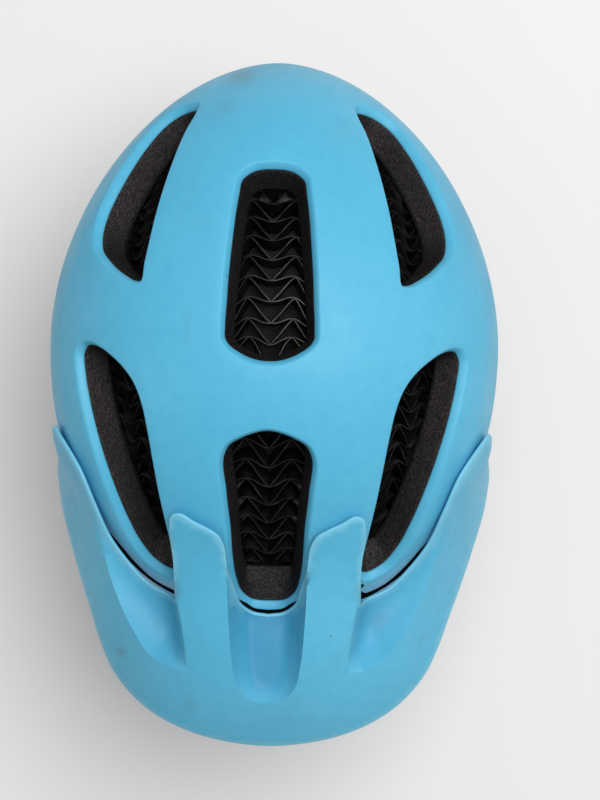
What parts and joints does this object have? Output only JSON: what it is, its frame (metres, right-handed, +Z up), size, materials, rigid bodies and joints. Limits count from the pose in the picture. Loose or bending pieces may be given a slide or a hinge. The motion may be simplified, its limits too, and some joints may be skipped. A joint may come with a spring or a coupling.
{
  "type": "cycling helmet",
  "caption": "Open-face cycling helmet with large vents, a clip-on visor, a cellular liner, a rear dial fit system and a magnetic chin buckle.",
  "frame": {"origin": "centre of the head opening, at the height of the rear rim, where the wearer's head holds the helmet", "axes": "+Z up through the crown, -Y towards the visor and the wearer's face, +X towards the wearer's left"},
  "size_m": [0.2166, 0.3315, 0.2855],
  "materials": {
    "shell_blue": "matte",
    "shell_black": "satin",
    "foam": "matte",
    "cell_plastic": "satin",
    "plastic": "satin",
    "pad_fabric": "matte",
    "webbing": "matte",
    "rubber": "matte",
    "steel": "satin"
  },
  "bodies": {
    "helmet": {"outer_shell": "shell_blue", "lower_shell": "shell_black", "foam_liner": "foam", "cell_liner": "cell_plastic", "crown_pad": "pad_fabric", "side_pad_left": "pad_fabric", "side_pad_right": "pad_fabric", "rear_pad_left": "pad_fabric", "rear_pad_right": "pad_fabric", "front_band": "plastic", "brow_pad": "pad_fabric", "hanger_socket": "plastic", "strap_anchor_front_left": "plastic", "strap_anchor_front_right": "plastic", "strap_anchor_rear_left": "plastic", "strap_anchor_rear_right": "plastic", "strap_front_left": "webbing", "strap_front_right": "webbing", "strap_rear_left": "webbing", "strap_rear_right": "webbing", "divider_left": "plastic", "divider_right": "plastic", "chin_strap_left": "webbing", "chin_strap_right": "webbing", "strap_tail": "webbing", "buckle_socket": "plastic", "socket_magnet": "steel", "visor_post_left": "plastic", "visor_post_right": "plastic"},
    "visor": {"visor": "shell_blue", "visor_clip_left": "plastic", "visor_clip_right": "plastic"},
    "height_slider": {"height_clip": "plastic", "height_hanger": "plastic"},
    "cradle": {"rear_cradle": "plastic", "cradle_pad_left": "pad_fabric", "cradle_pad_right": "pad_fabric", "lace_left": "webbing", "lace_right": "webbing", "dial_housing": "plastic", "dial_screw": "steel"},
    "dial": {"dial_knob": "plastic", "dial_spool": "plastic"},
    "buckle_tongue": {"buckle_tongue": "plastic", "tongue_magnet": "steel", "chin_pad": "pad_fabric"},
    "lever_left": {"divider_lever_left": "plastic"},
    "lever_right": {"divider_lever_right": "plastic"},
    "keeper": {"strap_keeper": "rubber"}
  },
  "joints": [
    {"name": "visor_pull_off", "type": "slide", "parent": "helmet", "child": "visor", "axis": [0, -1, 0], "range_m": [0, 0.1]},
    {"name": "height_adjust", "type": "slide", "parent": "helmet", "child": "height_slider", "axis": [0, 0, 1], "range_m": [-0.008, 0.008]},
    {"name": "cradle_tighten", "type": "slide", "parent": "height_slider", "child": "cradle", "axis": [0, -1, 0], "range_m": [0, 0.012], "deforming": ["height_hanger"]},
    {"name": "fit_dial_turn", "type": "hinge", "parent": "cradle", "child": "dial", "pos_m": [0, 0.0964, -0.018], "axis": [0, -1, 0], "range_deg": [0, 540]},
    {"name": "buckle_release", "type": "slide", "parent": "helmet", "child": "buckle_tongue", "axis": [0, -1, 0], "range_m": [0, 0.012], "deforming": ["chin_strap_right"]},
    {"name": "divider_lever_left_hinge", "type": "hinge", "parent": "helmet", "child": "lever_left", "pos_m": [0.0752, -0.006, -0.0398], "axis": [0, -1, 0], "range_deg": [0, 80]},
    {"name": "divider_lever_right_hinge", "type": "hinge", "parent": "helmet", "child": "lever_right", "pos_m": [-0.0752, -0.006, -0.0398], "axis": [0, 1, 0], "range_deg": [0, 80]},
    {"name": "keeper_slide", "type": "slide", "parent": "helmet", "child": "keeper", "axis": [0.2347, 0.2166, 0.9476], "range_m": [-0.004, 0.004]}
  ],
  "couplings": [
    {"joint": "fit_dial_turn", "follows": "cradle_tighten", "rad_per_m": 785}
  ]
}
